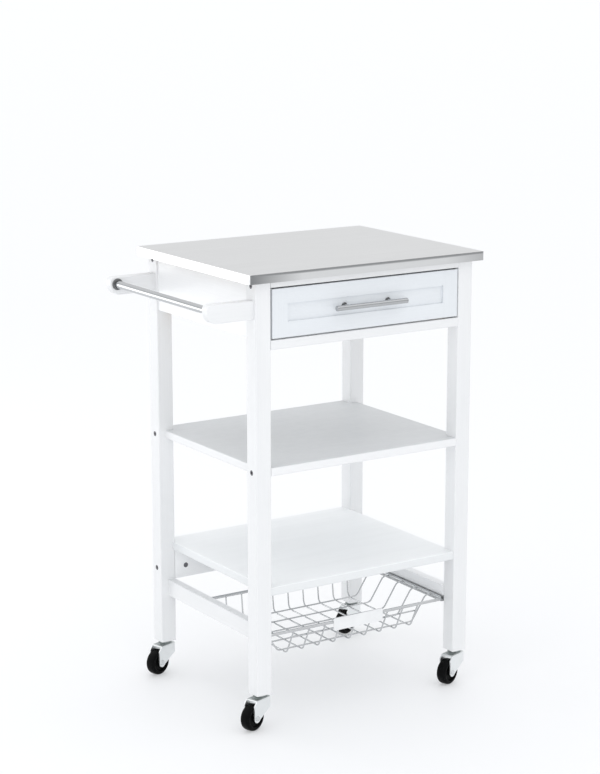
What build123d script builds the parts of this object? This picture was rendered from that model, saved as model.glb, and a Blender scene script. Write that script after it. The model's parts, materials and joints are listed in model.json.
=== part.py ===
"""Rolling utility cart: stainless worktop, one drawer, two shelves, a sliding wire basket,
a towel bar on the left and four swivel casters.

Millimetres. Everything is laid out about the centre of the frame, X to the right, Y to the
back, Z up from the floor, and is shifted on export so that the origin is the bottom centre
of the whole cart's box (the towel bar and the drawer handle make that box lopsided).
"""
from build123d import *
import os

# ---- overall sizes -------------------------------------------------------------------------
HEIGHT = 850.0
TOP_WIDTH = 515.0
TOP_DEPTH = 410.0
TOP_THICK = 17.0
SKIN = 0.8
SKIN_LIP = 10.0

# ---- frame ---------------------------------------------------------------------------------
LEG = 32.0
FRAME_WIDTH = 479.0
FRAME_DEPTH = 387.0
LEG_BOTTOM = 65.5
LEG_EDGE = 2.0
FRAME_TOP = HEIGHT - TOP_THICK + SKIN
OUTER_X = FRAME_WIDTH / 2
OUTER_Y = FRAME_DEPTH / 2
INNER_X = OUTER_X - LEG
INNER_Y = OUTER_Y - LEG
LEG_X = OUTER_X - LEG / 2
LEG_Y = OUTER_Y - LEG / 2
BOARD = 16.0
TOP_RAIL_BOTTOM = 822.0
BOTTOM_RAIL = (710.0, 727.0)
PANEL_BOTTOM = 731.0
SIDE_PANEL_INSET = 3.0

# ---- shelves and lower rails ---------------------------------------------------------------
MIDDLE_SHELF_TOP = 494.0
MIDDLE_SHELF_SIDE = 225.5
LOWER_SHELF_TOP = 268.0
LOWER_SHELF_SIDE = 212.5
LOWER_SHELF_FRONT = 191.0
SHELF_EDGE = 2.5
LOWER_RAIL_BOTTOM = 192.0
BASKET_RAIL = (160.7, 192.0)

# ---- drawer --------------------------------------------------------------------------------
DRAWER_GAP = 3.0
DRAWER_FRONT_THICK = 16.0
DRAWER_FRAME_WIDTH = (32.5, 28.0)
DRAWER_PANEL_RECESS = 4.0
DRAWER_PANEL_THICK = 6.0
DRAWER_REBATE = 6.0
DRAWER_SIDE_THICK = 12.0
DRAWER_SIDE_OUTER = 205.0
DRAWER_BOX = (741.3, 806.0)
DRAWER_BOX_BACK = 169.0
DRAWER_BOTTOM = (750.0, 754.0)
DRAWER_GROOVE = 5.0
RUNNER = (728.0, 741.0)
RUNNER_INNER = 195.0
GUIDE_TOP = 765.0

# ---- handle --------------------------------------------------------------------------------
HANDLE_LENGTH = 156.0
HANDLE_CENTRES = 96.0
HANDLE_RADIUS = 5.0
HANDLE_FRONT = 214.5
HANDLE_HEIGHT = 774.5
POST_RADIUS = 3.5
HANDLE_SCREW_RADIUS = 2.0
HANDLE_SCREW_HEAD = (4.0, 2.4)

# ---- towel bar -----------------------------------------------------------------------------
ARM_TIP = 334.5
ARM_TOP = 801.0
ARM_HEIGHT = 34.0
ARM_THICK = 18.0
ARM_CORNERS = (8.0, 20.0)
BAR_X = 320.0
BAR_HEIGHT = 787.5
BAR_RADIUS = 7.25
BAR_WALL = 1.2
BAR_SEAT = 6.0

# ---- wire basket ---------------------------------------------------------------------------
RIM_HEIGHT = 168.0
RIM_RADIUS = 3.0
RIM_SIDE = 203.0
RIM_FRONT = -167.0
RIM_BACK = 78.0
RIM_CORNER = 14.0
WIRE_RADIUS = 1.5
WIRE_BEND = 12.0
WIRE_TURN_IN = 11.5
BASKET_FLOOR = 117.0
SHOULDER_SIDE = 187.0
FLOOR_SIDE = 155.0
FLOOR_FRONT = -142.0
FLOOR_BACK = 72.0
WIRES_ACROSS = 9
ACROSS_SIDE = 142.5
WIRES_DEEP = 5
DEEP_RANGE = (-130.0, 60.0)
LEVEL_WIRE = (150.0, 144.0)
PLATE_SIZE = (112.0, 1.5, 24.0)
PLATE_TOP = 175.8
BASKET_RUNNER = (160.7, 164.7)
BASKET_RUNNER_INNER = 202.3
BASKET_RUNNER_OUTER = 215.5
RIM_GROOVE_TOP = 171.7
RIM_GROOVE_DEPTH = 6.0

# ---- hardware ------------------------------------------------------------------------------
BOLT_RADIUS = 3.0
BOLT_HEAD = (5.0, 3.0)
BOLT_SOCKET = (2.3, 2.0)
BOLT_LENGTH = 60.0
NUT_RADIUS = 5.0
NUT_FROM_LEG = 24.0
NUT_PAST_BOLT = 4.2
DOWEL_RADIUS = 4.0
DOWEL_LENGTH = 30.0
BRACKET = (20.0, 20.0, 2.0)
BRACKET_Y = 90.0
SCREW_RADIUS = 1.9
SCREW_HEAD = (3.8, 2.2)
SCREW_GRIP = 11.0

# ---- casters -------------------------------------------------------------------------------
WHEEL_RADIUS = 25.0
WHEEL_WIDTH = 20.0
TRAIL = 22.9
TRAIL_DIRECTION = 198.9
AXLE_RADIUS = 3.0
AXLE_CLEARANCE = 0.05
AXLE_HEAD = (5.0, 1.5)
FORK_GAP = 22.0
FORK_PLATE = 2.0
FORK_TOP = 59.0
FORK_BACK = 14.0
FORK_BACK_EDGE = 20.0
FORK_BOSS = 8.5
STEM_RADIUS = 4.0
STEM_TOP = 100.0
RIVET_HEAD = (7.0, 2.4)
RACE = (11.0, 59.1, 64.2)
SOCKET_RADIUS = 5.5
SOCKET_TOP = 103.0
SOCKET_FLANGE = 11.0
CORNERS = {
    "front_left": (-1, -1),
    "front_right": (1, -1),
    "back_left": (-1, 1),
    "back_right": (1, 1),
}

ORIGIN_SHIFT = Pos(
    (ARM_TIP - TOP_WIDTH / 2) / 2,
    (HANDLE_FRONT - TOP_DEPTH / 2) / 2,
    0,
)

nodes = {}


# ---- helpers -------------------------------------------------------------------------------
def block(x, y, z):
    """A box between a pair of limits along each axis."""
    limits = [sorted(pair) for pair in (x, y, z)]
    centre = [(low + high) / 2 for low, high in limits]
    return Pos(*centre) * Box(*[high - low for low, high in limits])


def rod(start, end, radius):
    """A round bar from one point to another."""
    start, end = Vector(start), Vector(end)
    run = end - start
    place = Plane(origin=start, z_dir=run)
    return place * Cylinder(radius, run.length, align=(Align.CENTER, Align.CENTER, Align.MIN))


def bent_wire(points, radius, bend):
    """A wire that follows straight runs joined by arcs."""
    path = FilletPolyline(*points, radius=bend)
    return sweep(Plane(origin=path @ 0, z_dir=path % 0) * Circle(radius), path=path)


def soften(shape, axis, radius):
    """Rounds the edges that run along one axis."""
    return fillet(shape.edges().filter_by(axis), radius)


def mirrored(shape):
    """The same piece on the other side of the cart."""
    return mirror(shape, about=Plane.YZ)


def drilled(shape, *groups):
    """A piece with seats for the hardware that enters it."""
    for group in groups:
        shape = shape - group
    return shape


# ---- fasteners -----------------------------------------------------------------------------
def connector_bolt(side, y, z):
    """A socket-head bolt through a leg, its head let into the leg's outer face."""
    head_radius, head_depth = BOLT_HEAD
    socket_radius, socket_depth = BOLT_SOCKET
    face = side * OUTER_X
    under = face - side * head_depth
    head = rod((face, y, z), (under, y, z), head_radius)
    shank = rod((under, y, z), (under - side * BOLT_LENGTH, y, z), BOLT_RADIUS)
    socket = Plane(origin=(face, y, z), z_dir=(-side, 0, 0)) * extrude(
        RegularPolygon(socket_radius, 6), socket_depth
    )
    return head + shank - socket


def barrel_nut(side, y, z, entry, inward):
    """A cross dowel that enters its rail from one face and takes the bolt's thread."""
    x = side * (INNER_X - NUT_FROM_LEG)
    bolt_axis = Vector(x, y, z)
    start = bolt_axis + Vector(*inward) * -entry
    end = bolt_axis + Vector(*inward) * NUT_PAST_BOLT
    thread = rod((x - 20, y, z), (x + 20, y, z), BOLT_RADIUS)
    return rod(start, end, NUT_RADIUS) - thread


def dowel(x, y, z, axis):
    """A wooden dowel, half of it in each of two pieces."""
    half = Vector(*axis) * (DOWEL_LENGTH / 2)
    centre = Vector(x, y, z)
    return rod(centre - half, centre + half, DOWEL_RADIUS)


def wood_screw(head_face, direction):
    """A round-head screw whose head stands on head_face."""
    head_radius, head_height = SCREW_HEAD
    along = Vector(*direction)
    base = Vector(*head_face)
    head = rod(base - along * head_height, base, head_radius)
    shank = rod(base, base + along * SCREW_GRIP, SCREW_RADIUS)
    return head + shank


TOP_BOLT_HEIGHT = 826.0
SHELF_BOLT_HEIGHT = MIDDLE_SHELF_TOP - BOARD / 2
LOWER_BOLT_HEIGHT = 216.0
BOLT_SITES = [
    (-LEG_Y, TOP_BOLT_HEIGHT, TOP_BOLT_HEIGHT - TOP_RAIL_BOTTOM, (0, 0, 1)),
    (LEG_Y, TOP_BOLT_HEIGHT, BOARD / 2, (0, 1, 0)),
    (-LEG_Y, SHELF_BOLT_HEIGHT, BOARD / 2, (0, 0, 1)),
    (LEG_Y, SHELF_BOLT_HEIGHT, BOARD / 2, (0, 0, 1)),
    (LEG_Y, LOWER_BOLT_HEIGHT, LEG / 2, (0, 1, 0)),
]
bolts = [connector_bolt(side, y, z) for side in (-1, 1) for y, z, _, _ in BOLT_SITES]
nuts = [barrel_nut(side, *site) for side in (-1, 1) for site in BOLT_SITES]

SIDE_PANEL_OUTER = OUTER_X - SIDE_PANEL_INSET
SIDE_PANEL_INNER = SIDE_PANEL_OUTER - BOARD
SIDE_PANEL_X = (SIDE_PANEL_OUTER + SIDE_PANEL_INNER) / 2
BASKET_RAIL_X = INNER_X + BOARD / 2
BASKET_RAIL_MIDDLE = (RIM_GROOVE_TOP + BASKET_RAIL[1]) / 2
LOWER_SHELF_BOTTOM = LOWER_SHELF_TOP - BOARD
DOWEL_INSET = 19.0
ARM_DOWEL_INSET = 9.0

dowels = []
for side in (-1, 1):
    for end in (-1, 1):
        for height in (PANEL_BOTTOM + DOWEL_INSET, FRAME_TOP - DOWEL_INSET):
            dowels.append(dowel(side * SIDE_PANEL_X, end * INNER_Y, height, (0, 1, 0)))
        for height in (ARM_TOP - ARM_DOWEL_INSET, ARM_TOP - ARM_HEIGHT + ARM_DOWEL_INSET):
            if side < 0:
                dowels.append(dowel(-OUTER_X, end * LEG_Y, height, (1, 0, 0)))
        dowels.append(dowel(side * BASKET_RAIL_X, end * INNER_Y, BASKET_RAIL_MIDDLE, (0, 1, 0)))
    for shift in (-LEG / 4, LEG / 4):
        dowels.append(dowel(side * INNER_X, -LEG_Y + shift, sum(BOTTOM_RAIL) / 2, (1, 0, 0)))
    dowels.append(dowel(side * INNER_X, LEG_Y, PANEL_BOTTOM + DOWEL_INSET, (1, 0, 0)))
    dowels.append(dowel(side * INNER_X, -LEG_Y, LOWER_SHELF_TOP - BOARD / 2, (1, 0, 0)))
    dowels.append(dowel(side * INNER_X, LEG_Y, LOWER_SHELF_BOTTOM - DOWEL_INSET / 2, (1, 0, 0)))

nodes["connector_bolts"] = bolts
nodes["barrel_nuts"] = nuts
nodes["wood_dowels"] = dowels


# ---- casters' fixed pieces -----------------------------------------------------------------
def caster_socket(x, y):
    """The sleeve pressed into a leg's end, with a flange under the leg."""
    tube = rod((x, y, LEG_BOTTOM), (x, y, SOCKET_TOP), SOCKET_RADIUS)
    flange = rod((x, y, RACE[2]), (x, y, LEG_BOTTOM), SOCKET_FLANGE)
    bore = rod((x, y, RACE[2] - 1), (x, y, STEM_TOP), STEM_RADIUS)
    return tube + flange - bore


def caster_stem(x, y):
    """The stem with its upper race and the riveted head that carries the fork."""
    race_radius, race_bottom, race_top = RACE
    head_radius, head_height = RIVET_HEAD
    head_top = FORK_TOP - FORK_PLATE - 0.1
    shank = rod((x, y, head_top), (x, y, STEM_TOP), STEM_RADIUS)
    race = rod((x, y, race_bottom), (x, y, race_top), race_radius)
    race = fillet(race.edges().filter_by(GeomType.CIRCLE), 1.2)
    head = rod((x, y, head_top - head_height), (x, y, head_top), head_radius)
    head = fillet(head.edges().filter_by(GeomType.CIRCLE).sort_by(Axis.Z)[0], 1.0)
    return shank + race + head


SWIVELS = {name: (sx * LEG_X, sy * LEG_Y) for name, (sx, sy) in CORNERS.items()}
sockets = [caster_socket(*place) for place in SWIVELS.values()]
nodes["caster_sockets"] = sockets
nodes["caster_stems"] = [caster_stem(*place) for place in SWIVELS.values()]

# ---- legs ----------------------------------------------------------------------------------
SOCKET_SEATS = [rod((x, y, LEG_BOTTOM), (x, y, SOCKET_TOP), SOCKET_RADIUS) for x, y in SWIVELS.values()]
for name, (x, y) in SWIVELS.items():
    leg = block((x - LEG / 2, x + LEG / 2), (y - LEG / 2, y + LEG / 2), (LEG_BOTTOM, FRAME_TOP))
    leg = soften(leg, Axis.Z, LEG_EDGE)
    bolt_seats = []
    side = -1 if x < 0 else 1
    for bolt_y, bolt_z, _, _ in BOLT_SITES:
        if bolt_y * y > 0:
            head_end = side * (OUTER_X - BOLT_HEAD[1])
            bolt_seats.append(rod((side * OUTER_X, bolt_y, bolt_z), (head_end, bolt_y, bolt_z), BOLT_HEAD[0]))
            bolt_seats.append(rod((head_end, bolt_y, bolt_z), (0, bolt_y, bolt_z), BOLT_RADIUS))
    nodes["leg_" + name] = drilled(leg, bolt_seats, dowels, SOCKET_SEATS)

# ---- rails and panels under the worktop ----------------------------------------------------
bolt_shanks = [
    rod((side * OUTER_X, y, z), (side * (OUTER_X - BOLT_HEAD[1] - BOLT_LENGTH), y, z), BOLT_RADIUS)
    for side in (-1, 1)
    for y, z, _, _ in BOLT_SITES
]
nut_seats = [
    rod(
        Vector(side * (INNER_X - NUT_FROM_LEG), y, z) - Vector(*inward) * entry,
        Vector(side * (INNER_X - NUT_FROM_LEG), y, z) + Vector(*inward) * NUT_PAST_BOLT,
        NUT_RADIUS,
    )
    for side in (-1, 1)
    for y, z, entry, inward in BOLT_SITES
]
SPAN_X = (-INNER_X, INNER_X)
SPAN_Y = (-INNER_Y, INNER_Y)

front_top_rail = block(SPAN_X, (-OUTER_Y, -INNER_Y), (TOP_RAIL_BOTTOM, FRAME_TOP))
nodes["front_top_rail"] = drilled(front_top_rail, bolt_shanks, nut_seats)
front_bottom_rail = soften(block(SPAN_X, (-OUTER_Y, -INNER_Y), BOTTOM_RAIL), Axis.X, 1.5)
nodes["front_bottom_rail"] = drilled(front_bottom_rail, dowels)
back_panel = block(SPAN_X, (LEG_Y - BOARD / 2, LEG_Y + BOARD / 2), (PANEL_BOTTOM, FRAME_TOP))
nodes["back_panel"] = drilled(back_panel, bolt_shanks, nut_seats, dowels)


# ---- brackets that hold the worktop --------------------------------------------------------
def top_bracket(side, y):
    """A steel angle between a side panel and the worktop, and its two screws."""
    width, leg_length, thick = BRACKET
    wall = side * SIDE_PANEL_INNER
    across = (y - width / 2, y + width / 2)
    upright = block((wall, wall - side * thick), across, (FRAME_TOP - leg_length, FRAME_TOP))
    flat = block((wall, wall - side * leg_length), across, (FRAME_TOP - thick, FRAME_TOP))
    low = (wall - side * thick, y, FRAME_TOP - leg_length * 0.6)
    high = (wall - side * leg_length * 0.6, y, FRAME_TOP - thick)
    screws = [wood_screw(low, (side, 0, 0)), wood_screw(high, (0, 0, 1))]
    return drilled(upright + flat, screws), screws


brackets = []
bracket_screws = []
for side in (-1, 1):
    for y in (-BRACKET_Y, BRACKET_Y):
        bracket, screws = top_bracket(side, y)
        brackets.append(bracket)
        bracket_screws += screws
nodes["top_brackets"] = brackets
nodes["top_bracket_screws"] = bracket_screws

side_panel = block((SIDE_PANEL_INNER, SIDE_PANEL_OUTER), SPAN_Y, (PANEL_BOTTOM, FRAME_TOP))
nodes["side_panel_right"] = drilled(side_panel, dowels, bracket_screws)
nodes["side_panel_left"] = drilled(mirrored(side_panel), dowels, bracket_screws)

# ---- worktop -------------------------------------------------------------------------------
half_w = TOP_WIDTH / 2
half_d = TOP_DEPTH / 2
slab = block((-half_w, half_w), (-half_d, half_d), (HEIGHT - TOP_THICK, HEIGHT))
slab = fillet(slab.edges().filter_by(Axis.Z), 3.0)
slab = fillet(slab.edges().group_by(Axis.Z)[-1], 1.2)
core = block(
    (SKIN - half_w, half_w - SKIN),
    (SKIN - half_d, half_d - SKIN),
    (FRAME_TOP, HEIGHT - SKIN),
)
core = soften(core, Axis.Z, 3.0 - SKIN)
well = block(
    (SKIN_LIP - half_w, half_w - SKIN_LIP),
    (SKIN_LIP - half_d, half_d - SKIN_LIP),
    (HEIGHT - TOP_THICK, FRAME_TOP),
)
nodes["worktop_skin"] = slab - core - well
nodes["worktop_core"] = drilled(core, bracket_screws)


# ---- shelves -------------------------------------------------------------------------------
def shelf(top, side, front):
    """A board notched round the four legs, with softened edges."""
    across = block((-side, side), SPAN_Y, (top - BOARD, top))
    deep = block(SPAN_X, (-front, front), (top - BOARD, top))
    board = across + deep
    long_edges = board.edges().filter_by(Axis.X).filter_by(lambda e: abs(e.center().Y) > front - 0.1)
    side_edges = board.edges().filter_by(Axis.Y).filter_by(lambda e: abs(e.center().X) > side - 0.1)
    return fillet(long_edges + side_edges, SHELF_EDGE)


nodes["middle_shelf"] = drilled(
    shelf(MIDDLE_SHELF_TOP, MIDDLE_SHELF_SIDE, OUTER_Y), bolt_shanks, nut_seats
)
nodes["lower_shelf"] = drilled(shelf(LOWER_SHELF_TOP, LOWER_SHELF_SIDE, LOWER_SHELF_FRONT), dowels)

# ---- lower rails and the basket's runners --------------------------------------------------
lower_back_rail = block(SPAN_X, (INNER_Y, OUTER_Y), (LOWER_RAIL_BOTTOM, LOWER_SHELF_BOTTOM))
lower_back_rail = soften(lower_back_rail, Axis.X, 1.5)
nodes["lower_back_rail"] = drilled(lower_back_rail, bolt_shanks, nut_seats, dowels)
basket_runner = block((BASKET_RUNNER_INNER, BASKET_RUNNER_OUTER), SPAN_Y, BASKET_RUNNER)
rim_groove = block((INNER_X, INNER_X + RIM_GROOVE_DEPTH), SPAN_Y, (BASKET_RUNNER[1], RIM_GROOVE_TOP))
basket_rail = block((INNER_X, INNER_X + BOARD), SPAN_Y, BASKET_RAIL) - basket_runner - rim_groove
nodes["basket_rail_right"] = drilled(basket_rail, dowels)
nodes["basket_rail_left"] = drilled(mirrored(basket_rail), dowels)
nodes["basket_runner_right"] = basket_runner
nodes["basket_runner_left"] = mirrored(basket_runner)

# ---- drawer runners ------------------------------------------------------------------------
drawer_runner = block((RUNNER_INNER, SIDE_PANEL_INNER), SPAN_Y, RUNNER)
nodes["drawer_runner_right"] = drawer_runner
nodes["drawer_runner_left"] = mirrored(drawer_runner)
drawer_guide = block((INNER_X, SIDE_PANEL_INNER), SPAN_Y, (RUNNER[1], GUIDE_TOP))
nodes["drawer_guides"] = [drawer_guide, mirrored(drawer_guide)]


# ---- towel bar -----------------------------------------------------------------------------
def towel_arm(end):
    """A flat arm on the leg's outer face, its tip rounded, with a blind seat for the bar."""
    upper, lower = ARM_CORNERS
    bottom = ARM_TOP - ARM_HEIGHT
    outline = Polyline(
        (-OUTER_X, bottom),
        (-ARM_TIP + lower, bottom),
    ) + RadiusArc((-ARM_TIP + lower, bottom), (-ARM_TIP, bottom + lower), lower)
    outline += Line((-ARM_TIP, bottom + lower), (-ARM_TIP, ARM_TOP - upper))
    outline += RadiusArc((-ARM_TIP, ARM_TOP - upper), (-ARM_TIP + upper, ARM_TOP), upper)
    outline += Polyline((-ARM_TIP + upper, ARM_TOP), (-OUTER_X, ARM_TOP), (-OUTER_X, bottom))
    face = Plane.XZ * make_face(outline)
    arm = extrude(face, ARM_THICK / 2, both=True)
    arm = Pos(0, end * LEG_Y, 0) * arm
    arm = fillet(arm.edges().filter_by(lambda e: e.center().X < -OUTER_X - 1), 1.5)
    return drilled(arm, [towel_bar_solid], dowels)


bar_end = LEG_Y - ARM_THICK / 2 + BAR_SEAT
towel_bar_solid = rod((-BAR_X, -bar_end, BAR_HEIGHT), (-BAR_X, bar_end, BAR_HEIGHT), BAR_RADIUS)
towel_bar_bore = rod((-BAR_X, -bar_end, BAR_HEIGHT), (-BAR_X, bar_end, BAR_HEIGHT), BAR_RADIUS - BAR_WALL)
nodes["towel_bar"] = towel_bar_solid - towel_bar_bore
nodes["towel_arm_front"] = towel_arm(-1)
nodes["towel_arm_back"] = towel_arm(1)

# ---- drawer --------------------------------------------------------------------------------
front_half = INNER_X - DRAWER_GAP
front_low = BOTTOM_RAIL[1] + DRAWER_GAP
front_high = TOP_RAIL_BOTTOM - DRAWER_GAP
front_depth = (-OUTER_Y, -OUTER_Y + DRAWER_FRONT_THICK)
stile, rail = DRAWER_FRAME_WIDTH
panel_front = -OUTER_Y + DRAWER_PANEL_RECESS
panel_x = front_half - stile + DRAWER_REBATE
panel_low = front_low + rail - DRAWER_REBATE
panel_high = front_high - rail + DRAWER_REBATE
panel_seat = block((-panel_x, panel_x), (panel_front, front_depth[1]), (panel_low, panel_high))

stiles = [
    block((side * front_half, side * (front_half - stile)), front_depth, (front_low, front_high)) - panel_seat
    for side in (-1, 1)
]
rails = [
    block((stile - front_half, front_half - stile), front_depth, heights) - panel_seat
    for heights in ((front_low, front_low + rail), (front_high - rail, front_high))
]
panel = block(
    (-panel_x, panel_x),
    (panel_front, panel_front + DRAWER_PANEL_THICK),
    (panel_low, panel_high),
)

handle_y = -HANDLE_FRONT + HANDLE_RADIUS
handle_bar = rod(
    (-HANDLE_LENGTH / 2, handle_y, HANDLE_HEIGHT),
    (HANDLE_LENGTH / 2, handle_y, HANDLE_HEIGHT),
    HANDLE_RADIUS,
)
posts = []
handle_screws = []
for side in (-1, 1):
    x = side * HANDLE_CENTRES / 2
    head_radius, head_height = HANDLE_SCREW_HEAD
    panel_back = panel_front + DRAWER_PANEL_THICK
    post = rod((x, panel_front, HANDLE_HEIGHT), (x, handle_y, HANDLE_HEIGHT), POST_RADIUS)
    head = rod((x, panel_back + head_height, HANDLE_HEIGHT), (x, panel_back, HANDLE_HEIGHT), head_radius)
    shank = rod((x, panel_back, HANDLE_HEIGHT), (x, panel_front - 15, HANDLE_HEIGHT), HANDLE_SCREW_RADIUS)
    handle_screws.append(head + shank)
    posts.append(post - handle_bar - shank)
nodes["drawer_front_stiles"] = stiles
nodes["drawer_front_rails"] = rails
nodes["drawer_front_panel"] = drilled(panel, handle_screws)
nodes["handle_bar"] = fillet(handle_bar.edges().filter_by(GeomType.CIRCLE), 0.8)
nodes["handle_posts"] = posts
nodes["handle_screws"] = handle_screws

side_inner = DRAWER_SIDE_OUTER - DRAWER_SIDE_THICK
back_front = DRAWER_BOX_BACK - DRAWER_SIDE_THICK
drawer_bottom = block(
    (-side_inner - DRAWER_GROOVE, side_inner + DRAWER_GROOVE),
    (front_depth[1], back_front + DRAWER_GROOVE),
    DRAWER_BOTTOM,
)
drawer_side = block((side_inner, DRAWER_SIDE_OUTER), (front_depth[1], DRAWER_BOX_BACK), DRAWER_BOX)
nodes["drawer_side_right"] = drawer_side - drawer_bottom
nodes["drawer_side_left"] = mirrored(drawer_side) - drawer_bottom
nodes["drawer_back"] = (
    block((-side_inner, side_inner), (back_front, DRAWER_BOX_BACK), DRAWER_BOX) - drawer_bottom
)
nodes["drawer_bottom"] = drawer_bottom

# ---- wire basket ---------------------------------------------------------------------------
ACROSS_PITCH = 2 * ACROSS_SIDE / (WIRES_ACROSS - 1)
DEEP_PITCH = (DEEP_RANGE[1] - DEEP_RANGE[0]) / (WIRES_DEEP - 1)
UPPER_LAYER = BASKET_FLOOR + 2 * WIRE_RADIUS


def wall_wire(points, inward):
    """A wire that hangs from the rim, follows the wall down and turns in under the basket."""
    rim, below, foot = Vector(*points[0]), Vector(*points[1]), Vector(*points[-1])
    start = rim + (below - rim).normalized() * RIM_RADIUS
    end = foot + Vector(*inward) * WIRE_TURN_IN
    return bent_wire([start, *points[1:], end], WIRE_RADIUS, WIRE_BEND)


def front_level_wire():
    """The level wire under the rim, on the inner side of the front wires."""
    height, half_span = LEVEL_WIRE
    slope = (Vector(0, RIM_FRONT, RIM_HEIGHT) - Vector(0, FLOOR_FRONT, BASKET_FLOOR)).normalized()
    inner_side = Vector(0, slope.Z, -slope.Y)
    on_wall = Vector(0, FLOOR_FRONT, BASKET_FLOOR) + slope * ((height - BASKET_FLOOR) / slope.Z)
    centre = on_wall + inner_side * (2 * WIRE_RADIUS)
    return rod(centre - Vector(half_span, 0, 0), centre + Vector(half_span, 0, 0), WIRE_RADIUS)


across_places = [-ACROSS_SIDE + i * ACROSS_PITCH for i in range(WIRES_ACROSS)]
deep_places = [DEEP_RANGE[0] + i * DEEP_PITCH for i in range(WIRES_DEEP)]

rim_path = Wire(
    FilletPolyline(
        (RIM_SIDE, RIM_FRONT, RIM_HEIGHT),
        (RIM_SIDE, RIM_BACK, RIM_HEIGHT),
        (-RIM_SIDE, RIM_BACK, RIM_HEIGHT),
        (-RIM_SIDE, RIM_FRONT, RIM_HEIGHT),
        close=True,
        radius=RIM_CORNER,
    ).edges()
)
nodes["basket_rim"] = sweep(
    Plane(origin=rim_path @ 0, z_dir=rim_path % 0) * Circle(RIM_RADIUS), path=rim_path
)

for name, rim_y, floor_y, inward in (
    ("basket_front_wires", RIM_FRONT, FLOOR_FRONT, 1),
    ("basket_back_wires", RIM_BACK, FLOOR_BACK, -1),
):
    nodes[name] = [
        wall_wire([(x, rim_y, RIM_HEIGHT), (x, floor_y, BASKET_FLOOR)], (0, inward, 0))
        for x in across_places
    ]
nodes["basket_front_wires"].append(front_level_wire())

for name, side in (("basket_left_wires", -1), ("basket_right_wires", 1)):
    nodes[name] = [
        wall_wire(
            [
                (side * RIM_SIDE, y, RIM_HEIGHT),
                (side * SHOULDER_SIDE, y, RIM_HEIGHT),
                (side * FLOOR_SIDE, y, UPPER_LAYER),
            ],
            (-side, 0, 0),
        )
        for y in deep_places
    ]

floor_wires = [
    rod(
        (x, FLOOR_FRONT + WIRE_TURN_IN, BASKET_FLOOR),
        (x, FLOOR_BACK - WIRE_TURN_IN, BASKET_FLOOR),
        WIRE_RADIUS,
    )
    for x in across_places
]
floor_wires += [
    rod(
        (-FLOOR_SIDE + WIRE_TURN_IN, y, UPPER_LAYER),
        (FLOOR_SIDE - WIRE_TURN_IN, y, UPPER_LAYER),
        WIRE_RADIUS,
    )
    for y in deep_places
]
nodes["basket_floor_wires"] = floor_wires

plate_width, plate_thick, plate_height = PLATE_SIZE
plate_back = RIM_FRONT - RIM_RADIUS
grip_plate = block(
    (-plate_width / 2, plate_width / 2),
    (plate_back - plate_thick, plate_back),
    (PLATE_TOP - plate_height, PLATE_TOP),
)
nodes["basket_grip_plate"] = soften(grip_plate, Axis.Y, 3.0)


# ---- casters -------------------------------------------------------------------------------
def fork_side(lean):
    """Outline of the fork seen along the axle: crown, upright rear edge, round axle boss."""
    boss = Pos(TRAIL, WHEEL_RADIUS) * Circle(FORK_BOSS - lean)
    crown = Polygon(
        (-FORK_BACK + lean, FORK_TOP - lean),
        (-FORK_BACK + lean, FORK_TOP - FORK_BACK_EDGE),
        (TRAIL - FORK_BOSS * 0.78, WHEEL_RADIUS - FORK_BOSS * 0.55),
        (TRAIL + FORK_BOSS - lean, WHEEL_RADIUS),
        (TRAIL + FORK_BOSS - lean, FORK_TOP - 10),
        (TRAIL + FORK_BOSS - 8, FORK_TOP - lean),
        align=None,
    )
    return boss + crown


def caster_fork():
    """A pressed steel fork: a crown over the wheel and a plate on each side of it."""
    half = FORK_GAP / 2 + FORK_PLATE
    outer = extrude(Plane.XZ * fork_side(0), half, both=True)
    outer = fillet(outer.edges().filter_by(lambda e: e.center().Z > FORK_TOP - 0.1).filter_by(Axis.X), 2.5)
    hollow = block((-60, 60), (-FORK_GAP / 2, FORK_GAP / 2), (0, FORK_TOP - FORK_PLATE))
    pivot = rod((0, 0, 0), (0, 0, FORK_TOP + 1), STEM_RADIUS + AXLE_CLEARANCE)
    axle = rod((TRAIL, -half, WHEEL_RADIUS), (TRAIL, half, WHEEL_RADIUS), AXLE_RADIUS)
    return outer - hollow - pivot - axle


def caster_axle():
    """A riveted axle with a flat head outside each plate."""
    head_radius, head_height = AXLE_HEAD
    half = FORK_GAP / 2 + FORK_PLATE
    axle = rod((TRAIL, -half, WHEEL_RADIUS), (TRAIL, half, WHEEL_RADIUS), AXLE_RADIUS)
    for side in (-1, 1):
        head = rod(
            (TRAIL, side * half, WHEEL_RADIUS),
            (TRAIL, side * (half + head_height), WHEEL_RADIUS),
            head_radius,
        )
        outer_rim = head.edges().filter_by(GeomType.CIRCLE).sort_by(Axis.Y)[0 if side < 0 else -1]
        axle += fillet(outer_rim, 0.8)
    return axle


def caster_wheel():
    """A solid wheel with rounded shoulders, a sunk web on both sides and a bored hub."""
    half = WHEEL_WIDTH / 2
    wheel = rod((TRAIL, -half, WHEEL_RADIUS), (TRAIL, half, WHEEL_RADIUS), WHEEL_RADIUS)
    wheel = fillet(wheel.edges().filter_by(GeomType.CIRCLE), 4.0)
    for side in (-1, 1):
        face = (TRAIL, side * half, WHEEL_RADIUS)
        sunk = (TRAIL, side * (half - 3), WHEEL_RADIUS)
        wheel -= rod(sunk, face, 18.0) - rod(sunk, face, 8.0)
    bore = rod(
        (TRAIL, -half - 1, WHEEL_RADIUS),
        (TRAIL, half + 1, WHEEL_RADIUS),
        AXLE_RADIUS + AXLE_CLEARANCE,
    )
    return wheel - bore


fork, axle, wheel = caster_fork(), caster_axle(), caster_wheel()
for name, (x, y) in SWIVELS.items():
    place = Pos(x, y, 0) * Rot(0, 0, TRAIL_DIRECTION)
    nodes["caster_fork_" + name] = place * fork
    nodes["caster_axle_" + name] = place * axle
    nodes["caster_wheel_" + name] = place * wheel

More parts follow.
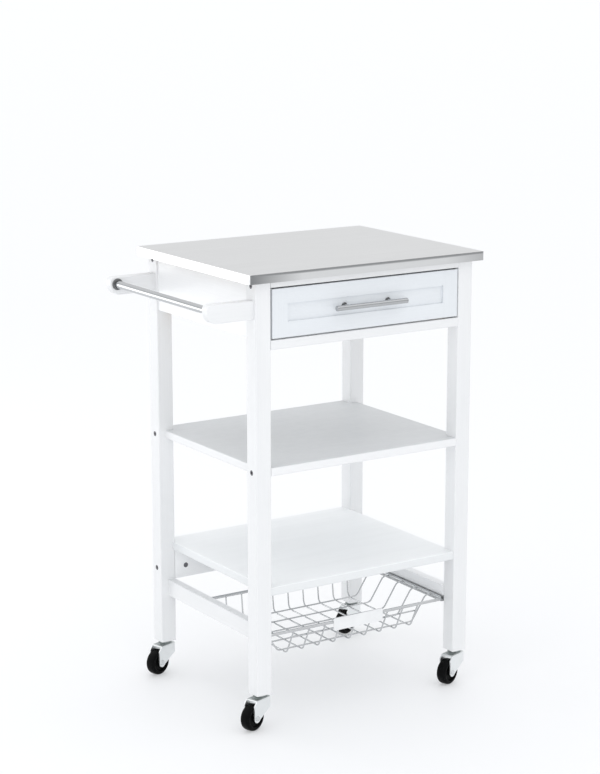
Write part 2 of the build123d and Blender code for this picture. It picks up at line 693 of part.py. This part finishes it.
# ---- export --------------------------------------------------------------------------------
os.makedirs("parts", exist_ok=True)
for name, shape in nodes.items():
    pieces = shape if isinstance(shape, list) else [shape]
    solids = [solid for piece in pieces for solid in piece.solids()]
    moved = [ORIGIN_SHIFT * solid for solid in solids]
    export_step(moved[0] if len(moved) == 1 else Compound(children=moved), f"parts/{name}.step")
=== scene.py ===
import bmesh
import bpy
import json
import math
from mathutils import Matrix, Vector

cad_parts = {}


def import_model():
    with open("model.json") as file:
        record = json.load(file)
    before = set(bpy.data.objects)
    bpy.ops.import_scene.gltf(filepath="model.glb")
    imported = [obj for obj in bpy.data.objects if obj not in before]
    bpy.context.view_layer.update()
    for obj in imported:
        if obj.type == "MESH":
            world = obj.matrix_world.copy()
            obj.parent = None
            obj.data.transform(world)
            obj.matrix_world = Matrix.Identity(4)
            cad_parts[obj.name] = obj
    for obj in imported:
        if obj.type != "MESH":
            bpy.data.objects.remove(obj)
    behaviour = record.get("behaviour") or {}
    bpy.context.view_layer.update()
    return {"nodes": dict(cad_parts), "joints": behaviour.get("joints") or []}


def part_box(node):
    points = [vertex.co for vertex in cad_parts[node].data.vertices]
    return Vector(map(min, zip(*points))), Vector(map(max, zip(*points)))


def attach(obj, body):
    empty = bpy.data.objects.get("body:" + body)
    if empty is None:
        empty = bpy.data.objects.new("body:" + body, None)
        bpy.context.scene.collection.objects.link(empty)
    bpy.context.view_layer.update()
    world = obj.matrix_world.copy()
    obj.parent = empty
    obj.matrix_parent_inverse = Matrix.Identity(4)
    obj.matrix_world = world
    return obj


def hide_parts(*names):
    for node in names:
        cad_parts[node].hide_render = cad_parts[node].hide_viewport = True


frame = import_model()
nodes = frame["nodes"]


# ---- material helpers ----------------------------------------------------------------------
class Look:
    """A Principled material with short ways to add texture nodes to it."""

    def __init__(self, name, colour, roughness, **sockets):
        self.material = bpy.data.materials.new(name)
        self.material.use_nodes = True
        self.tree = self.material.node_tree
        self.shader = self.tree.nodes["Principled BSDF"]
        self.shader.inputs["Base Color"].default_value = (*colour, 1)
        self.shader.inputs["Roughness"].default_value = roughness
        for socket, value in sockets.items():
            self.shader.inputs[socket.replace("_", " ")].default_value = value
        self.place = self.tree.nodes.new("ShaderNodeTexCoord").outputs["Object"]

    @classmethod
    def adopt(cls, material):
        """Picks up a material that is already made, to add more to it."""
        look = cls.__new__(cls)
        look.material, look.tree = material, material.node_tree
        look.shader = look.tree.nodes["Principled BSDF"]
        look.place = look.tree.nodes["Texture Coordinate"].outputs["Object"]
        return look

    def tone(self):
        """The socket that feeds the base colour now."""
        return self.shader.inputs["Base Color"].links[0].from_socket

    def node(self, kind, inputs=(), **settings):
        made = self.tree.nodes.new("ShaderNode" + kind)
        for name, value in settings.items():
            setattr(made, name, value)
        for key, value in dict(inputs).items():
            if isinstance(value, bpy.types.NodeSocket):
                self.tree.links.new(value, made.inputs[key])
            else:
                made.inputs[key].default_value = value
        return made

    def stretched(self, scale):
        """Object coordinates, in metres, times a scale for each axis."""
        return self.node("Mapping", {"Vector": self.place, "Scale": scale}).outputs[0]

    def noise(self, scale, detail=3.0, roughness=0.55, stretch=(1, 1, 1)):
        vector = self.place if stretch == (1, 1, 1) else self.stretched(stretch)
        made = self.node(
            "TexNoise",
            {"Vector": vector, "Scale": scale, "Detail": detail, "Roughness": roughness},
        )
        return made.outputs["Fac"]

    def spread(self, value, low, high, out_low=0.0, out_high=1.0):
        """Maps a range of a value on to another range."""
        made = self.node(
            "MapRange",
            {0: value, 1: low, 2: high, 3: out_low, 4: out_high},
        )
        return made.outputs[0]

    def mix(self, factor, first, second, blend="MIX"):
        made = self.node("Mix", data_type="RGBA", blend_type=blend)
        for socket, value in ((0, factor), (6, first), (7, second)):
            if isinstance(value, bpy.types.NodeSocket):
                self.tree.links.new(value, made.inputs[socket])
            elif socket:
                made.inputs[socket].default_value = (*value, 1)
            else:
                made.inputs[socket].default_value = value
        return made.outputs[2]

    def sum(self, first, second, weight=1.0):
        made = self.node("Math", {0: second, 1: weight, 2: first}, operation="MULTIPLY_ADD")
        return made.outputs[0]

    def times(self, first, second):
        return self.node("Math", {0: first, 1: second}, operation="MULTIPLY").outputs[0]

    def set(self, socket, value):
        self.tree.links.new(value, self.shader.inputs[socket])

    def bump(self, height, distance, strength=1.0, after=None):
        inputs = {"Height": height, "Distance": distance, "Strength": strength}
        if after is not None:
            inputs["Normal"] = after
        return self.node("Bump", inputs).outputs[0]


def across(grain):
    """Scale that stretches a texture along one axis, given as 0, 1 or 2."""
    return tuple(0.035 if axis == grain else 1.0 for axis in range(3))


def painted_wood(name, grain, tint=(0.79, 0.80, 0.81)):
    """Satin white lacquer on wood: faint grain telegraphs through, with soft mottling."""
    look = Look(name, tint, 0.38, Coat_Weight=0.15, Coat_Roughness=0.2, IOR=1.5)
    fibre = look.noise(420, 4, 0.6, across(grain))
    band = look.noise(38, 2, 0.5, across(grain))
    cloud = look.noise(7, 3, 0.5)
    shade = look.sum(look.times(fibre, 0.5), band, 0.5)
    dark = tuple(c * 0.955 for c in tint)
    light = tuple(c * 1.02 for c in tint)
    streaked = look.mix(look.spread(shade, 0.35, 0.65), dark, tint)
    look.set("Base Color", look.mix(look.spread(cloud, 0.3, 0.7, 0.0, 0.35), streaked, light))
    look.set("Roughness", look.spread(look.noise(60, 4), 0.3, 0.7, 0.33, 0.47))
    peel = look.noise(650, 2, 0.4)
    look.set("Normal", look.bump(fibre, 0.00012, 0.5, look.bump(peel, 0.00008, 0.35)))
    return look.material


def bare_wood(name, grain, light=(0.72, 0.55, 0.36), dark=(0.52, 0.36, 0.21)):
    """Unfinished softwood with growth-ring streaks along the grain."""
    look = Look(name, light, 0.65)
    ring = look.node(
        "TexWave",
        {"Vector": look.stretched(across(grain)), "Scale": 45.0, "Distortion": 5.0, "Detail": 3.0},
    ).outputs["Fac"]
    fibre = look.noise(500, 4, 0.65, across(grain))
    look.set("Base Color", look.mix(look.sum(look.times(ring, 0.6), fibre, 0.4), dark, light))
    look.set("Roughness", look.spread(fibre, 0.3, 0.7, 0.55, 0.75))
    look.set("Normal", look.bump(fibre, 0.0002, 0.6))
    return look.material


def particle_board(name):
    """Pressed wood chips."""
    look = Look(name, (0.5, 0.36, 0.22), 0.8)
    chips = look.node("TexVoronoi", {"Vector": look.place, "Scale": 420.0}, feature="F1")
    gap = look.spread(chips.outputs["Distance"], 0, 0.8)
    look.set("Base Color", look.mix(gap, (0.62, 0.47, 0.3), (0.36, 0.25, 0.15)))
    look.set("Normal", look.bump(chips.outputs["Distance"], 0.0004, 0.5))
    return look.material


def metal(name, colour, roughness, brushed=None, streak=0.08, pit=0.00002):
    """Bare metal, with an optional brushing direction."""
    look = Look(name, colour, roughness, Metallic=1.0)
    cloud = look.noise(22, 3)
    if brushed is None:
        fine = look.noise(900, 3)
        wander = look.sum(look.times(fine, 0.5), cloud, 0.5)
    else:
        fine = look.noise(2600, 3, 0.6, tuple(0.006 if a == brushed else 1.0 for a in range(3)))
        broad = look.noise(160, 3, 0.6, tuple(0.02 if a == brushed else 1.0 for a in range(3)))
        wander = look.sum(look.times(fine, 0.5), broad, 0.5)
        lengthwise = look.node("CombineXYZ", {0: brushed == 0, 1: brushed == 1, 2: 0.05})
        look.set("Tangent", lengthwise.outputs[0])
        look.shader.inputs["Anisotropic"].default_value = 0.55
    dark = tuple(c * (1 - streak) for c in colour)
    light = tuple(min(1.0, c * (1 + streak)) for c in colour)
    look.set("Base Color", look.mix(look.spread(wander, 0.35, 0.65), dark, light))
    rough = look.sum(look.times(wander, 0.6), cloud, 0.4)
    look.set("Roughness", look.spread(rough, 0.35, 0.65, roughness * 0.92, roughness * 1.12))
    look.set("Normal", look.bump(fine, pit, 0.6))
    return look.material


def plastic(name, colour, roughness, gloss=0.5):
    """Moulded plastic with a fine spark-eroded texture."""
    look = Look(name, colour, roughness, IOR=1.47, Specular_IOR_Level=gloss)
    fine = look.noise(1400, 3)
    cloud = look.noise(45, 3)
    lighter = tuple(min(1.0, c * 1.05 + 0.001) for c in colour)
    look.set("Base Color", look.mix(look.spread(cloud, 0.35, 0.7), colour, lighter))
    look.set("Roughness", look.spread(cloud, 0.3, 0.7, roughness * 0.85, roughness * 1.15))
    look.set("Normal", look.bump(fine, 0.00006, 0.5))
    return look.material


X, Y, Z = range(3)
# Painted shade: the drawer front gets a darker, cooler copy of the same white paint, for the shade it sits
# in.
DRAWER_SHADE_TINT = (0.73, 0.76, 0.79)
# Painted light: a lighter copy of the white paint for the lower back rail, the right basket rail and the
# side panels, to lift the shade they sit in.
PAINTED_LIGHT_TINT = (0.89, 0.90, 0.91)
paint = {axis: painted_wood("white_paint_" + "xyz"[axis], axis) for axis in (X, Y, Z)}
drawer_painted_shade = {axis: painted_wood("drawer_painted_shade_" + "xyz"[axis], axis, DRAWER_SHADE_TINT) for axis in (X, Z)}
painted_light_paint = {axis: painted_wood("painted_light_white_paint_" + "xyz"[axis], axis, PAINTED_LIGHT_TINT) for axis in (X, Y)}
stainless = metal("brushed_stainless", (0.76, 0.765, 0.765), 0.3, brushed=X, streak=0.035)
chrome = metal("polished_chrome", (0.47, 0.48, 0.49), 0.1, streak=0.02, pit=0.000004)
# Painted shade: a darker copy of the chrome, used for the towel bar's collars and the feet of the handle's
# posts.
dark_chrome = metal("shaded_chrome", (0.16, 0.163, 0.167), 0.22, streak=0.04, pit=0.000006)
wire_chrome = metal("chrome_wire", (0.60, 0.61, 0.62), 0.16, streak=0.05, pit=0.000006)
zinc = metal("bright_zinc", (0.68, 0.70, 0.71), 0.26, streak=0.03, pit=0.000008)
fork_zinc = metal("pressed_zinc", (0.84, 0.86, 0.865), 0.4, streak=0.02, pit=0.000006)
dark_steel = metal("black_oxide_steel", (0.16, 0.16, 0.17), 0.42, streak=0.1)
grey_steel = metal("grey_coated_steel", (0.50, 0.51, 0.52), 0.5, brushed=Y, streak=0.05)
race_zinc = metal("race_zinc", (0.38, 0.41, 0.405), 0.34, streak=0.06)
pine = {axis: bare_wood("pine_" + "xyz"[axis], axis) for axis in (X, Y)}
core = particle_board("chipboard")


SHELF_FACE_DEPTHS = (0.0004, 0.0014)


def shelf_with_painted_shading(node, top_painted_shading, edge_painted_shading):
    """Painted board whose upper face and edges take different tones, as painted light and shade."""
    material = painted_wood(node + "_paint", X, top_painted_shading)
    look = Look.adopt(material)
    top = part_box(node)[1].z
    height = look.node("SeparateXYZ", {0: look.place}).outputs[Z]
    on_edge = look.spread(height, *(top - depth for depth in SHELF_FACE_DEPTHS))
    look.set("Base Color", look.mix(on_edge, look.tone(), edge_painted_shading))
    return material


# Painted shade and light: the middle shelf's top is darker than its edges, for the shade under the drawer;
# the lower shelf's top is lighter than its edges, and its edges are darker than the other paint.
SHELF_PAINTED_SHADING = {
    "middle_shelf": ((0.655, 0.675, 0.69), (0.80, 0.81, 0.82)),
    "lower_shelf": ((0.87, 0.89, 0.90), (0.75, 0.77, 0.78)),
}
shelf_paints = {node: shelf_with_painted_shading(node, *tints) for node, tints in SHELF_PAINTED_SHADING.items()}

# Where the worktop's lip carries a painted reflection and the forks' crowns a painted shade, in metres from
# the piece's own box.
LIP_DEPTHS = (0.0012, 0.0004)
BEND_DROPS = (0.0056, 0.0032)
BEND_WEIGHT = 0.6
LEFT_CORNER = (0.11, 0.005)
LEFT_CORNER_WEIGHT = 0.66
RIGHT_CORNER = (0.09, 0.005)
RIGHT_CORNER_WEIGHT = 0.3
LIP_REFLECTION_TINT = (0.10, 0.105, 0.11)
LIP_WEIGHT = 0.22
CROWN_DROPS = (0.0012, 0.0003)
CROWN_WEIGHT = 0.8
CROWN_SHADE_TINT = (0.46, 0.49, 0.485)


def paint_lip_reflection(material):
    """A painted reflection: the folded front lip is painted a darker grey along its upper bend and at its
    corners, and a little darker all along.
    """
    low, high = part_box("worktop_skin")
    look = Look.adopt(material)
    axes = look.node("SeparateXYZ", {0: look.place}).outputs
    on_front = look.spread(axes[Y], *(low.y + depth for depth in LIP_DEPTHS))
    bend = look.spread(axes[Z], *(high.z - drop for drop in BEND_DROPS))
    left_corner = look.spread(axes[X], *(low.x + reach for reach in LEFT_CORNER), 0.0, LEFT_CORNER_WEIGHT)
    right_corner = look.spread(axes[X], *(high.x - reach for reach in RIGHT_CORNER))
    corners = look.sum(left_corner, right_corner, RIGHT_CORNER_WEIGHT)
    dark_reflection = look.node("Math", {0: look.times(bend, BEND_WEIGHT), 1: corners}, operation="MAXIMUM")
    weight = look.sum(look.times(dark_reflection.outputs[0], on_front), look.times(on_front, LIP_WEIGHT), 0.5)
    look.set("Base Color", look.mix(weight, look.tone(), LIP_REFLECTION_TINT))


def paint_crown_shade(material):
    """The fork's flat crown is painted a darker grey than its sides, a painted shade."""
    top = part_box("caster_fork_front_left")[1].z
    look = Look.adopt(material)
    height = look.node("SeparateXYZ", {0: look.place}).outputs[Z]
    on_crown = look.spread(height, *(top - drop for drop in CROWN_DROPS))
    look.set("Base Color", look.mix(look.times(on_crown, CROWN_WEIGHT), look.tone(), CROWN_SHADE_TINT))


paint_lip_reflection(stainless)
paint_crown_shade(fork_zinc)
plate_white = plastic("white_plate", (0.78, 0.79, 0.80), 0.35)
black = plastic("black_wheel", (0.0018, 0.002, 0.0022), 0.42, gloss=0.07)

# ---- materials on the CAD nodes ------------------------------------------------------------
GRAIN = {
    X: ["front_top_rail", "front_bottom_rail", "back_panel", "drawer_back", "drawer_bottom",
        "towel_arm_front", "towel_arm_back"],
    Y: ["basket_rail_left", "drawer_side_left", "drawer_side_right"],
    Z: ["leg_front_left", "leg_front_right", "leg_back_left", "leg_back_right"],
}
LOOKS = {name: paint[axis] for axis, names in GRAIN.items() for name in names}
LOOKS.update({name: pine[Y] for name in ("drawer_runner_left", "drawer_runner_right", "drawer_guides")})
LOOKS.update({name: chrome for name in ("towel_bar", "handle_bar", "handle_posts")})
LOOKS.update({name: grey_steel for name in ("basket_runner_left", "basket_runner_right")})
LOOKS.update({name: dark_steel for name in ("connector_bolts", "barrel_nuts")})
# The drawer front takes the darker copy of the paint, a painted shade.
LOOKS["drawer_front_rails"] = LOOKS["drawer_front_panel"] = drawer_painted_shade[X]
LOOKS["drawer_front_stiles"] = drawer_painted_shade[Z]
LOOKS.update(shelf_paints)
# Painted light: the pieces that sit in shade get the lighter copy of the paint.
LOOKS["lower_back_rail"] = painted_light_paint[X]
SHADED = ("basket_rail_right", "side_panel_left", "side_panel_right")
LOOKS.update({name: painted_light_paint[Y] for name in SHADED})
LOOKS["wood_dowels"] = pine[X]
LOOKS["worktop_skin"] = stainless
LOOKS["worktop_core"] = core
LOOKS["caster_stems"] = race_zinc
LOOKS["basket_grip_plate"] = plate_white
for name in nodes:
    if name.startswith("caster_wheel"):
        LOOKS[name] = black
    elif name.startswith("caster_fork"):
        LOOKS[name] = fork_zinc
    elif name.startswith("basket_") and name not in LOOKS:
        LOOKS[name] = wire_chrome
for name, cad in nodes.items():
    cad.data.materials.clear()
    cad.data.materials.append(LOOKS.get(name, zinc))

# ---- softened edges ------------------------------------------------------------------------
EASED_ANGLE = 50
EASED = {
    0.0012: ["side_panel_left", "side_panel_right", "back_panel", "basket_rail_left", "basket_rail_right",
             "drawer_front_stiles", "drawer_front_rails"],
    0.0008: ["drawer_front_panel", "drawer_side_left", "drawer_side_right", "drawer_back", "front_top_rail",
             "drawer_runner_left", "drawer_runner_right", "drawer_guides"],
}
for width, names in EASED.items():
    for name in names:
        eased = nodes[name].modifiers.new("eased_edges", "BEVEL")
        eased.width = width
        eased.segments = 3
        eased.limit_method = "ANGLE"
        eased.angle_limit = math.radians(EASED_ANGLE)
        eased.use_clamp_overlap = True


# ---- turned pieces -------------------------------------------------------------------------
CRISP_ANGLE = 42


def turned(name, outline, centre, axis, material, body, steps=64):
    """A piece turned about an axis; the outline is a closed loop of radius and height, in mm."""
    mesh = bpy.data.meshes.new(name)
    made = bpy.data.objects.new(name, mesh)
    bpy.context.scene.collection.objects.link(made)
    build = bmesh.new()
    turn = Vector((0, 0, 1)).rotation_difference(Vector(axis)).to_matrix()
    rings = []
    for step in range(steps):
        angle = 2 * math.pi * step / steps
        ring = []
        for radius, height in outline:
            spot = Vector((radius * math.cos(angle), radius * math.sin(angle), height)) / 1000
            ring.append(build.verts.new(turn @ spot + Vector(centre)))
        rings.append(ring)
    for ring, following in zip(rings, rings[1:] + rings[:1]):
        for i in range(len(outline)):
            j = (i + 1) % len(outline)
            build.faces.new((ring[i], following[i], following[j], ring[j]))
    bmesh.ops.recalc_face_normals(build, faces=build.faces)
    for face in build.faces:
        face.smooth = True
    build.to_mesh(mesh)
    build.free()
    sharp = made.modifiers.new("crisp_corners", "EDGE_SPLIT")
    sharp.split_angle = math.radians(CRISP_ANGLE)
    mesh.materials.append(material)
    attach(made, body)
    return made


def middle(node):
    low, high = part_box(node)
    return (low + high) / 2


def mirrored_outline(half):
    """A closed outline from its upper half."""
    return half + [(radius, -height) for radius, height in reversed(half)]


WHEEL_OUTLINE = mirrored_outline([
    (3.05, 10.0), (6.6, 10.0), (7.4, 9.6), (7.8, 8.6), (8.1, 6.6), (9.0, 6.1), (15.4, 5.7), (16.6, 6.1),
    (17.2, 7.6), (17.5, 9.2), (18.2, 9.9), (19.4, 10.0), (21.2, 9.8), (22.9, 9.0), (24.1, 7.6), (24.7, 5.8),
    (24.95, 3.2),
])
RACE_OUTLINE = [(9.0, 0.0), (12.6, 0.0), (13.1, 0.5), (13.1, 1.5), (12.4, 2.1), (9.0, 2.1)]
RACE_SUNK = 0.0004
WHEEL_STEPS = 96
ROLLS = [joint for joint in frame["joints"] if joint["name"].startswith("roll_")]
AXLES = {joint["name"].removeprefix("roll_"): joint["axis"] for joint in ROLLS}
for corner, axle in AXLES.items():
    node = "caster_wheel_" + corner
    body = "wheel_" + corner
    wheel = turned("turned_wheel_" + corner, WHEEL_OUTLINE, middle(node), axle, black, body, WHEEL_STEPS)
    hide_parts(node)
    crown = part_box("caster_fork_" + corner)[1].z
    pivot = next(j["pos_m"] for j in frame["joints"] if j["name"] == "swivel_" + corner)
    seat = (pivot[0], pivot[1], crown - RACE_SUNK)
    ring = turned("race_ring_" + corner, RACE_OUTLINE, seat, (0, 0, 1), race_zinc, "caster_" + corner)

# ---- collars on the towel bar and the handle's posts ---------------------------------------
bar = middle("towel_bar")
COLLAR = [(7.25, 0.0), (10.4, 0.0), (10.8, 0.4), (10.8, 1.8), (10.0, 2.9), (8.6, 3.4), (7.25, 3.5)]
arm_faces = {"front": (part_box("towel_arm_front")[1].y, 1), "back": (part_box("towel_arm_back")[0].y, -1)}
for end, (face, way) in arm_faces.items():
    seat = (bar.x, face, bar.z)
    collar = turned("towel_bar_collar_" + end, COLLAR, seat, (0, way, 0), dark_chrome, "frame")

POST_FOOT = [(3.5, 0.0), (5.6, 0.0), (6.0, 0.3), (6.0, 1.0), (5.2, 1.7), (3.5, 2.0)]
POST_RADIUS = 0.0035
FOOT_STEPS = 48
low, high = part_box("handle_posts")
panel_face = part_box("drawer_front_panel")[0].y
for end, x in (("left", low.x + POST_RADIUS), ("right", high.x - POST_RADIUS)):
    seat = (x, panel_face, (low.z + high.z) / 2)
    foot = turned("handle_foot_" + end, POST_FOOT, seat, (0, -1, 0), dark_chrome, "drawer", FOOT_STEPS)

# ---- floor, light, camera ------------------------------------------------------------------
FLOOR_HALF = 60.0
FLOOR_TINT = (0.55, 0.555, 0.565)
FLOOR_GLOW = 0.33
SWEEP_GLOW = 0.95
BAND_FRONT = 0.63
BAND_BACK = 0.765
BAND_REACH = (-0.5, 0.6)
BAND_HEIGHTS = (0.015, 0.13)
OVERHEAD = 1.26
OVERHEAD_HEIGHTS = (0.15, 0.75)
LIGHT_AIM = (0, 0, 0.5)
CAMERA_PLACE = (-2.113, -3.27425, 1.449)
CAMERA_YAW = 33.02
CAMERA_PITCH = 12.46
CAMERA_LENS = 97.56


def floor():
    mesh = bpy.data.meshes.new("floor")
    corners = [(-FLOOR_HALF, -FLOOR_HALF, 0), (FLOOR_HALF, -FLOOR_HALF, 0),
               (FLOOR_HALF, FLOOR_HALF, 0), (-FLOOR_HALF, FLOOR_HALF, 0)]
    mesh.from_pydata(corners, [], [(0, 1, 2, 3)])
    made = bpy.data.objects.new("floor", mesh)
    bpy.context.scene.collection.objects.link(made)
    glow = {"Emission_Color": (0.98, 0.99, 1, 1), "Emission_Strength": FLOOR_GLOW}
    mesh.materials.append(Look("studio_floor", FLOOR_TINT, 0.6, **glow).material)


def area_light(name, place, size, power, mirrored=True):
    """A softbox; one that isn't mirrored lights the scene without showing in shiny surfaces."""
    data = bpy.data.lights.new(name, "AREA")
    data.shape = "RECTANGLE"
    data.size, data.size_y = size
    data.energy = power
    lamp = bpy.data.objects.new(name, data)
    lamp.location = place
    lamp.visible_camera = False
    lamp.visible_glossy = mirrored
    lamp.rotation_euler = (Vector(LIGHT_AIM) - Vector(place)).to_track_quat("-Z", "Y").to_euler()
    bpy.context.scene.collection.objects.link(lamp)


def world():
    """A soft studio: a white sweep at the horizon, a darker band just above it, bright overhead."""
    made = bpy.data.worlds.new("studio")
    made.use_nodes = True
    tree = made.node_tree
    background = tree.nodes["Background"]
    background.inputs["Color"].default_value = (0.985, 0.99, 1.0, 1)
    place = tree.nodes.new("ShaderNodeTexCoord").outputs["Generated"]
    parts = tree.nodes.new("ShaderNodeSeparateXYZ")
    tree.links.new(place, parts.inputs[0])

    def spread(value, low, high, out_low, out_high):
        made = tree.nodes.new("ShaderNodeMapRange")
        made.interpolation_type = "SMOOTHSTEP"
        tree.links.new(value, made.inputs[0])
        for slot, number in enumerate((low, high), 1):
            made.inputs[slot].default_value = number
        for slot, number in enumerate((out_low, out_high), 3):
            if isinstance(number, bpy.types.NodeSocket):
                tree.links.new(number, made.inputs[slot])
            else:
                made.inputs[slot].default_value = number
        return made.outputs[0]

    band = spread(parts.outputs["Y"], *BAND_REACH, BAND_FRONT, BAND_BACK)
    lower = spread(parts.outputs["Z"], *BAND_HEIGHTS, SWEEP_GLOW, band)
    whole = spread(parts.outputs["Z"], *OVERHEAD_HEIGHTS, lower, OVERHEAD)
    tree.links.new(whole, background.inputs["Strength"])
    bpy.context.scene.world = made


def camera():
    data = bpy.data.cameras.new("camera")
    data.lens = CAMERA_LENS
    data.sensor_width = 36
    data.clip_end = 200
    made = bpy.data.objects.new("camera", data)
    made.location = CAMERA_PLACE
    made.rotation_euler = (math.radians(90 - CAMERA_PITCH), 0, math.radians(-CAMERA_YAW))
    bpy.context.scene.collection.objects.link(made)
    bpy.context.scene.camera = made


floor()
world()
area_light("front_left", place=(-1.5, -3.6, 1.0), size=(1.6, 1.4), power=27, mirrored=False)
area_light("back_left", place=(-1.6, 2.4, 0.75), size=(1.5, 1.2), power=11)
area_light("left", place=(-3.2, -0.9, 1.9), size=(1.6, 2.2), power=6)
camera()
bpy.context.scene.view_settings.view_transform = "Standard"
